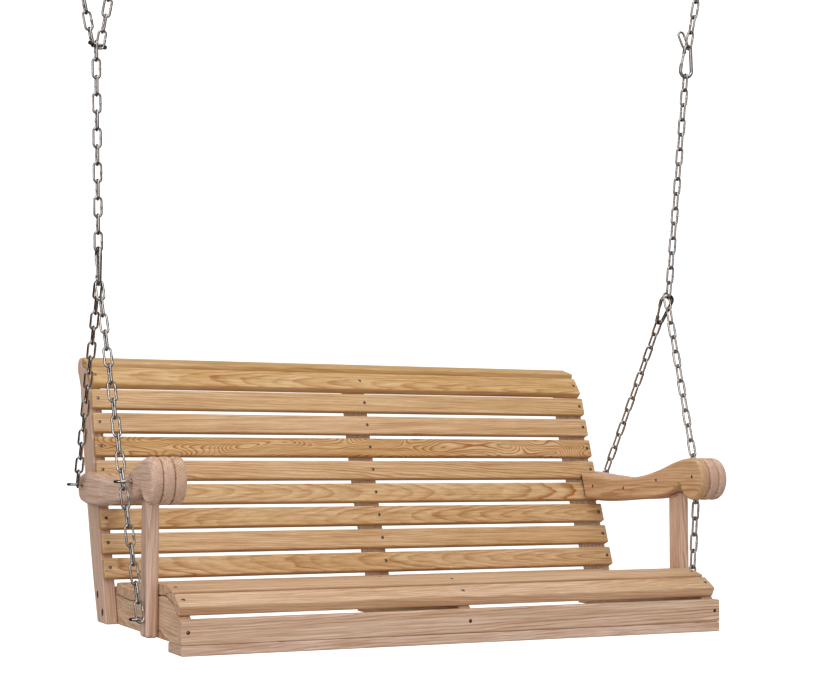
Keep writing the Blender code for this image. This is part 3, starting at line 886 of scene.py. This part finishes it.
def make_hook(side, which, body, origin, along, across):
    """A pear-shaped spring hook, its nose cut to a latch, and the gate that closes it."""
    along = Vector(along).normalized()
    across = square_to(along, across)
    normal = along.cross(across)

    def spot(u, v):
        return Vector(origin) + along * u + across * v

    hinge = (GATE_ENDS[1], HOOK_NARROW + 0.0006)
    nose = (GATE_ENDS[0], HOOK_WIDE - 0.0016)
    line = [(GATE_ENDS[1] + 0.0020, HOOK_NARROW + 0.0002)]
    line += arc((HOOK_LENGTH - HOOK_NARROW, 0), HOOK_NARROW, 90, -90, 16)
    line += arc((HOOK_WIDE, 0), HOOK_WIDE, 270, 90, 24)
    line += [(GATE_ENDS[0] - 0.0010, HOOK_WIDE - 0.0012)]
    wire = swept([spot(u, v) for u, v in line], normal, HOOK_WIRE, 16)
    ears = []
    for offset in (-1, 1):
        place = spot(hinge[0] - 0.0012, hinge[1]) + normal * (offset * (HOOK_WIRE - 0.0010))
        ears.append(moved(lathe([(0.0030, -0.0008), (0.0036, -0.0004), (0.0036, 0.0004),
                                 (0.0030, 0.0008)], 14), place, normal))
    name = f"{which}_hook_{side}"
    cad = f"{which}_carabiner_{side}"
    fitting(f"{name}_body", [wire] + ears, ZINC, body, [f"{cad}_body"])

    path = [spot(*hinge) * (1 - f) + spot(*nose) * f for f in (0.0, 0.08, 0.5, 0.84, 0.9, 1.0)]
    gate = swept(path, normal, [0.0024, 0.0027, 0.0027, 0.0027, 0.0032, 0.0030], 14)
    pin = moved(lathe([(0.0012, -0.0046), (0.0016, -0.0043), (0.0016, 0.0043),
                       (0.0012, 0.0046)], 12), spot(*hinge), normal)
    fitting(f"{name}_gate", [gate, pin], ZINC, f"gate_{which}_{side}",
            [f"{cad}_gate"])


def make_eye(which, side, sign):
    """A screw eye: washer against the timber, shank, and the ring bent round in the level."""
    centre = sided(EYE_PLACES[which], sign)
    normal = BENCH_TURN @ Vector((0, 0, 1))
    radius = EYE_RADII[which]
    ring = [(-u, v) for u, v in arc((0, 0), radius, 4, 330, 28)]
    bend = [(-radius - 0.0040, 0.0), (-radius - 0.0016, 0.00005)]
    line = [(-radius - 0.0170, 0.0)] + bend + ring
    path = [on_bench(centre + Vector((sign * u, v, 0))) for u, v in line]
    wire = swept(path, normal, EYE_WIRE, 14)
    washer = lathe([(0.0048, 0.0), (0.0052, 0.0004), (0.0052, 0.0012), (0.0044, 0.0018)], 24)
    face = on_bench(centre + Vector((-sign * (radius + EYE_WIRE + 0.0015), 0, 0)))
    parts = [wire, moved(washer, face, (sign, 0, 0))]
    fitting(f"screw_eye_{which}_{side}", parts, ZINC, "bench",
            [f"eye_{which}_{side}"])


def fork_of(sign, side):
    """(where the side's chains part, the direction of its main chain), in the shared frame."""
    up = Vector((sign * CHAIN_SPREAD, 0, 1))
    return Vector((sign * FORK.x, 0, FORK_WORLD.z)) - up * FORK_DROP[side], up


def beside(reach, off):
    """How far a link hung off to one side of a hook's round end climbs up its curve."""
    return reach - math.sqrt(reach ** 2 - off ** 2)


def make_bench_chains(side, sign):
    """The chains from the fork to the bench's eyes, and the right fork's hook."""
    eyes = {which: sided(place, sign) for which, place in EYE_PLACES.items()}
    fork, up = fork_of(sign, side)
    if side == "left":
        # Both runs hang side by side in the narrow end of the hook above them.
        off = 0.0036
        rise = up.normalized() * beside(HOOK_NARROW, off)
        start, hooked = (fork + rise + Vector((0, turn * off, 0)) for turn in (-1, 1))
    else:
        # The front run's first link sits beside the main chain's last one on the wide end of
        # the hook that begins the rear run.
        back = BENCH_TURN @ (eyes["rear"] - sided(FORK, sign)).normalized()
        across = square_to(back, (-1, 0, 0))
        make_hook(side, "fork", "bench", fork, back, across)
        off = 0.0058
        start = fork + back * beside(HOOK_WIDE, off) + across * off
        hooked = fork + back * HOOK_LENGTH
    forward = (on_bench(eyes["front"]) - start).normalized()
    lower = on_bench(sided(LOWER_HOOKED, sign))
    guided = on_bench(eyes["front"] - Vector((sign * 0.0010, 0, 0)))
    parts = links_along([start - forward * HOOK_WIRE, guided,
                         lower + (lower - guided).normalized() * EYE_WIRE],
                        (1, 0, 0), FRONT_LINKS[side])
    fitting(f"front_links_{side}", parts, ZINC, "bench", [f"front_chain_{side}"])

    end = on_bench(eyes["rear"] + Vector((-sign * 0.0050, -EYE_RADII["rear"] * 0.9, 0)))
    parts = run_of_links(hooked, end, (HOOK_WIRE, EYE_WIRE), (1, 0, 0))
    fitting(f"rear_links_{side}", parts, ZINC, "bench", [f"rear_chain_{side}"])


def ring_bottom(side, which):
    """Centre of a ceiling ring's lowest wire, from the CAD plate's box."""
    low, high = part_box(f"ceiling_hanger_{side}")
    middle = (low.x + high.x) / 2
    sign = SIDES[side] if which == "outer" else -SIDES[side]
    return Vector((middle + sign * RING_SPACING / 2, 0.0, SWING_AXIS.z))


def make_hanger(side, sign):
    """The main chain, the top hook and its leg chains, and on the left the fork's hook too."""
    fork, up = fork_of(sign, side)
    top = fork + up * (MAIN_LINKS[side] * LINK_INNER + FORK_DROP[side])
    body = f"hanger_{side}"
    foot = fork
    if side == "left":
        foot = fork + up.normalized() * HOOK_LENGTH
        make_hook(side, "fork", body, foot, -up, (0, 1, 0))
    parts = run_of_links(foot, top, (HOOK_WIRE, HOOK_WIRE), (1, 0, 0), side == "left")
    fitting(f"main_links_{side}", parts, ZINC, body, [f"main_chain_{side}"])
    if side == "left":
        along, across = (Vector(direction) for direction in LEVEL_HOOK)
        make_hook(side, "top", body, top, along, across)
        for which, off, flat_first in (("outer", -0.0080, False), ("inner", 0.0080, True)):
            start = top + across.normalized() * off + along.normalized() * 0.0022
            parts = run_of_links(start, ring_bottom(side, which), (HOOK_WIRE, RING_WIRE),
                                 (1, 0, 0), flat_first)
            fitting(f"upper_links_{side}_{which}", parts, ZINC, body,
                    [f"upper_chain_{side}_{which}"])
        return
    make_hook(side, "top", body, top, up, (-1.0, 0, CHAIN_SPREAD))
    tip = top + up.normalized() * HOOK_LENGTH
    parts = run_of_links(tip + Vector((0.0015, 0, 0)), ring_bottom(side, "outer"),
                         (HOOK_WIRE, RING_WIRE), (1, 0, 0))
    # The spare link beyond the one that is hooked leans away from the run.
    parts.append(link_at(tip + Vector((-0.0125, 0.002, 0.0130)), (-0.45, 0.1, 1.0), (1, 0, 0)))
    fitting("upper_links_right", parts, ZINC, body, ["upper_chain_right"])


def make_ceiling_plate(side):
    """A steel plate with eased edges and screws, and its two welded rings with their beads."""
    node = f"ceiling_hanger_{side}"
    low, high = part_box(node)
    middle = (low.x + high.x) / 2
    corner, ease = 0.0060, 0.0012
    outline = [Vector(p) for p in ((low.x, low.y), (high.x, low.y), (high.x, high.y),
                                   (low.x, high.y))]
    line = rounded(outline, [True] * 4, corner)
    rows = [(-PLATE_THICK, ease), (-PLATE_THICK + ease * 0.3, ease * 0.3),
            (-PLATE_THICK + ease, 0.0), (-ease, 0.0), (-ease * 0.3, ease * 0.3), (0.0, ease)]
    verts, count = [], len(line)
    for z, amount in rows:
        verts += [Vector((p.x, p.y, z)) for p in inset(line, amount)]
    faces = bands(len(rows), count)
    faces += [tuple(range(count))[::-1], tuple((len(rows) - 1) * count + i for i in range(count))]
    parts = [(verts, faces)]
    for sign in (-1, 1):
        x = sign * RING_SPACING / 2
        centre = Vector((middle + x, 0, SWING_AXIS.z + RING_RADIUS))
        path = [centre + Vector((u, 0, v)) for u, v in arc((0, 0), RING_RADIUS, 0, 350, 35)]
        parts.append(swept(path, (0, 1, 0), RING_WIRE, 14, closed=True))
        bead = lathe([(0.0062, 0.0), (0.0058, 0.0012), (0.0046, 0.0022)], 18)
        parts.append(moved(bead, (middle + x, 0, -PLATE_THICK), (0, 0, -1)))
    head = lathe([(0.0062, -0.0004), (0.0060, 0.0010), (0.0044, 0.0026), (0.0016, 0.0032)], 20)
    for place in (-1, 0, 1):
        x = middle + place * LAG_SPACING
        parts.append(moved(head, (x, 0, -PLATE_THICK), (0, 0, -1)))
    fitting(f"ceiling_plate_{side}", parts, PLATE_STEEL, "ceiling", [node])


# ------------------------ stage, lights, camera
CAMERA_PLACE = Vector((-1.4538, -3.4437, 0.3230))   # in the bench's own frame
CAMERA_YAW, CAMERA_PITCH = math.radians(24.441), math.radians(4.025)
LENS, SENSOR = 71.5, 36.0
FLOOR_DROP = 0.43           # from the bench down to the floor


def make_camera():
    """The camera, placed and turned in the bench's own frame."""
    yaw, pitch = CAMERA_YAW, CAMERA_PITCH
    ahead = BENCH_TURN @ Vector((math.sin(yaw) * math.cos(pitch), math.cos(yaw) * math.cos(pitch),
                                 math.sin(pitch)))
    right = BENCH_TURN @ Vector((math.cos(yaw), -math.sin(yaw), 0.0))
    over = right.cross(ahead)
    camera = bpy.data.objects.new("camera", bpy.data.cameras.new("camera"))
    camera.data.lens = LENS
    camera.data.sensor_width = SENSOR
    camera.data.clip_start = 0.05
    camera.data.clip_end = 100.0
    turn = Matrix((right, over, -ahead)).transposed()
    camera.matrix_world = Matrix.Translation(on_bench(CAMERA_PLACE)) @ turn.to_4x4()
    bpy.context.collection.objects.link(camera)
    bpy.context.scene.camera = camera


def make_stage():
    """A pale floor that curves up into a backdrop."""
    floor = CAD_BOX[0].z - FLOOR_DROP
    near, far, wide, sweep = -9.0, 6.0, 14.0, 2.5
    line = [(near, floor), (far - sweep, floor)]
    line += [(far - sweep + u, floor + sweep + v) for u, v in arc((0, 0), sweep, -85, 0, 17)]
    line += [(far, floor + 9.0)]
    verts = [(x, y, z) for y, z in line for x in (-wide, wide)]
    faces = [(2 * i, 2 * i + 1, 2 * i + 3, 2 * i + 2) for i in range(len(line) - 1)]
    t = Tree("pale_floor")
    for name, value in (("Base Color", (0.93, 0.93, 0.93, 1.0)), ("Roughness", 0.9),
                        ("Emission Color", (1.0, 1.0, 1.0, 1.0)), ("Emission Strength", 0.55),
                        ("Specular IOR Level", 0.1)):
        t.shader.inputs[name].default_value = value
    stage = mesh_object("floor", verts, faces, t.material)
    # Neither the steel nor the shaded timber sees it, so that it throws no light upwards.
    stage.visible_glossy = False
    stage.visible_diffuse = False
    shade(stage)


def softbox(name, place, size, power, colour):
    """An area lamp turned to the middle of the bench."""
    lamp = bpy.data.lights.new(name, "AREA")
    lamp.shape = "RECTANGLE"
    lamp.size, lamp.size_y = size
    lamp.energy = power
    lamp.color = colour
    made = bpy.data.objects.new(name, lamp)
    target = Vector((0.0, 0.0, -1.2))
    made.location = place
    made.rotation_euler = (target - Vector(place)).to_track_quat("-Z", "Y").to_euler()
    bpy.context.collection.objects.link(made)


def make_light():
    """The room, which looks different to the timber, to bright steel and to the camera, and
    three softboxes."""
    world = bpy.data.worlds.new("studio")
    bpy.context.scene.world = world
    world.use_nodes = True
    nodes, links = world.node_tree.nodes, world.node_tree.links
    where = nodes.new("ShaderNodeTexCoord")
    rays = nodes.new("ShaderNodeLightPath")

    def banded(facing, stops):
        """A background whose brightness runs from behind the facing direction to ahead of it."""
        aligned = nodes.new("ShaderNodeVectorMath")
        aligned.operation = "DOT_PRODUCT"
        aligned.inputs[1].default_value = Vector(facing).normalized()
        links.new(where.outputs["Generated"], aligned.inputs[0])
        share = nodes.new("ShaderNodeMapRange")
        share.inputs["From Min"].default_value = -1.0
        links.new(aligned.outputs["Value"], share.inputs["Value"])
        bands = nodes.new("ShaderNodeValToRGB")
        links.new(share.outputs[0], bands.inputs["Fac"])
        bar = bands.color_ramp.elements
        while len(bar) < len(stops):
            bar.new(0.5)
        for element, (place, value) in zip(bar, stops):
            element.position = place
            element.color = (value, value * 0.97, value * 0.95, 1.0)
        made = nodes.new("ShaderNodeBackground")
        links.new(bands.outputs["Color"], made.inputs["Color"])
        return made.outputs[0]

    def either(test, when_false, when_true):
        made = nodes.new("ShaderNodeMixShader")
        for socket, source in zip(made.inputs, (rays.outputs[test], when_false, when_true)):
            links.new(source, socket)
        return made.outputs[0]

    # The room lights the timber from above more than from below.
    ambient = banded((0.0, -0.25, 1.0), ((0.0, 0.12), (0.32, 0.42), (0.50, 0.98), (0.70, 0.78),
                                         (1.0, 0.60)))
    # Bright steel sees a dark room with one wide bright wall, so that wires show their form.
    wall = banded((-0.36, -0.84, 0.40), ((0.0, 0.06), (0.40, 0.02), (0.70, 0.03), (0.80, 0.18),
                                         (0.90, 0.50), (1.0, 0.75)))
    # Beyond the backdrop the room is as white as the backdrop.
    white = nodes["Background"]
    white.inputs["Color"].default_value = (1.0, 1.0, 1.0, 1.0)
    lit = either("Is Glossy Ray", ambient, wall)
    links.new(either("Is Camera Ray", lit, white.outputs[0]), nodes["World Output"].inputs["Surface"])
    softbox("key", (-1.6, -3.2, 2.6), (2.4, 1.8), 42.0, (1.0, 0.95, 0.86))
    softbox("fill", (-3.6, -1.6, -0.4), (1.0, 1.6), 18.0, (1.0, 0.93, 0.92))
    softbox("top", (0.2, -0.2, 2.4), (3.0, 2.0), 40.0, (1.0, 0.98, 0.95))
    bpy.context.scene.view_settings.view_transform = "Standard"


def main():
    make_camera()
    make_back()
    make_seat()
    make_frame()
    make_screws()
    for side, sign in SIDES.items():
        make_bench_chains(side, sign)
        make_hanger(side, sign)
        make_ceiling_plate(side)
        for which in EYE_PLACES:
            make_eye(which, side, sign)
    make_stage()
    make_light()


main()
